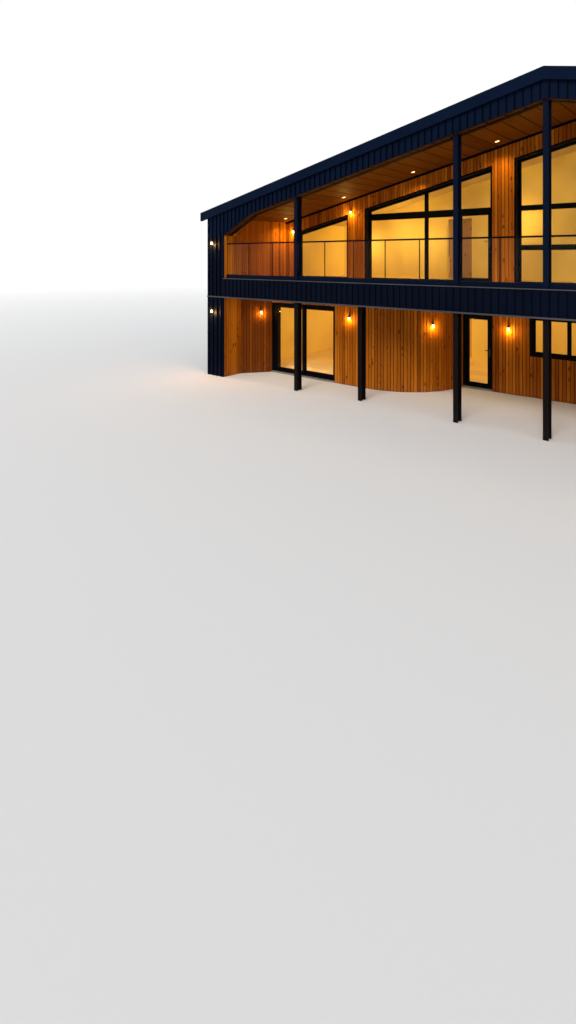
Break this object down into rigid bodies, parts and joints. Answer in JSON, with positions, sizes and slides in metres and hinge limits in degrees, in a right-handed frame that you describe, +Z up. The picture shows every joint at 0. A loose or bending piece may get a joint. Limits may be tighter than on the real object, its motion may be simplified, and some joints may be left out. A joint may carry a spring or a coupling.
{
  "type": "two-storey portal-frame house with balcony and terrace",
  "caption": "Gable-fronted steel portal-frame house in black ribbed metal and timber boards, with a recessed balcony, a covered terrace, rounded bays and glazed doors.",
  "frame": {"origin": "on the ground in the middle of the plan, under the ridge", "axes": "+X to the right seen from the front, +Y from the balcony gable towards the rear gable, +Z up"},
  "size_m": [20.7, 15.1779, 7.48],
  "materials": {
    "black_metal": "matt",
    "flashing_metal": "satin",
    "timber_cladding": "oiled",
    "timber_soffit": "oiled",
    "steel_black": "satin",
    "frame_black": "powder coated",
    "handle_metal": "satin",
    "clear_glass": "clear",
    "floor": "matt",
    "inner_plaster": "plastered and painted",
    "lamp_black": "satin",
    "lamp_light": "lit diffuser"
  },
  "bodies": {
    "house": {"balcony_band": "black_metal", "balcony_soffit": "timber_soffit", "balustrade_channel": "steel_black", "balustrade_glass": "clear_glass", "balustrade_rail": "steel_black", "band_flashings": "flashing_metal", "bay_curve_1": "timber_cladding", "bay_curve_2": "timber_cladding", "bay_curve_3": "timber_cladding", "bay_front_walls": "timber_cladding", "centre_post": "steel_black", "corner_pier_left": "black_metal", "corner_pier_right": "black_metal", "door_lintels": "timber_cladding", "door_sills": "flashing_metal", "downpipes": "black_metal", "eaves_gutters": "black_metal", "first_floor": "floor", "front_portal_frame": "timber_soffit", "gable_fascia": "black_metal", "garden_doors_right": "frame_black", "glazed_door_frame": "frame_black", "ground_centre_wall": "timber_cladding", "ground_front_glass": "clear_glass", "ground_posts": "steel_black", "ground_slab": "floor", "ground_window_frame": "frame_black", "inner_posts": "steel_black", "inner_walls": "inner_plaster", "oblique_walls": "timber_cladding", "outer_posts": "steel_black", "rear_glass": "clear_glass", "rear_wall": "black_metal", "rear_window_frames": "frame_black", "ridge_cap": "black_metal", "roof_left": "black_metal", "roof_right": "black_metal", "side_glass": "clear_glass", "side_wall_left": "black_metal", "side_wall_right": "black_metal", "side_window_frames": "frame_black", "sliding_door_fixed_leaf": "frame_black", "sliding_door_frame": "frame_black", "soffit_downlights": "lamp_light", "soffit_trims": "frame_black", "upper_door_levers": "handle_metal", "upper_doors": "frame_black", "upper_front_glass": "clear_glass", "upper_front_wall_left": "timber_cladding", "upper_front_wall_right": "timber_cladding", "upper_window_frames": "frame_black", "verge_flashings": "black_metal", "wall_lamps": "lamp_black", "window_trims": "frame_black"},
    "sliding_leaf": {"sliding_door_leaf": "frame_black", "sliding_door_glass": "clear_glass"},
    "glazed_leaf": {"glazed_door_leaf": "frame_black", "glazed_door_glass": "clear_glass", "glazed_door_lever": "handle_metal"}
  },
  "joints": [
    {"name": "sliding_door", "type": "slide", "parent": "house", "child": "sliding_leaf", "axis": [-1, 0, 0], "range_m": [0, 1.05]},
    {"name": "glazed_door", "type": "hinge", "parent": "house", "child": "glazed_leaf", "pos_m": [-3.162, -3.846, 1.05], "axis": [0, 0, 1], "range_deg": [0, 90]}
  ]
}
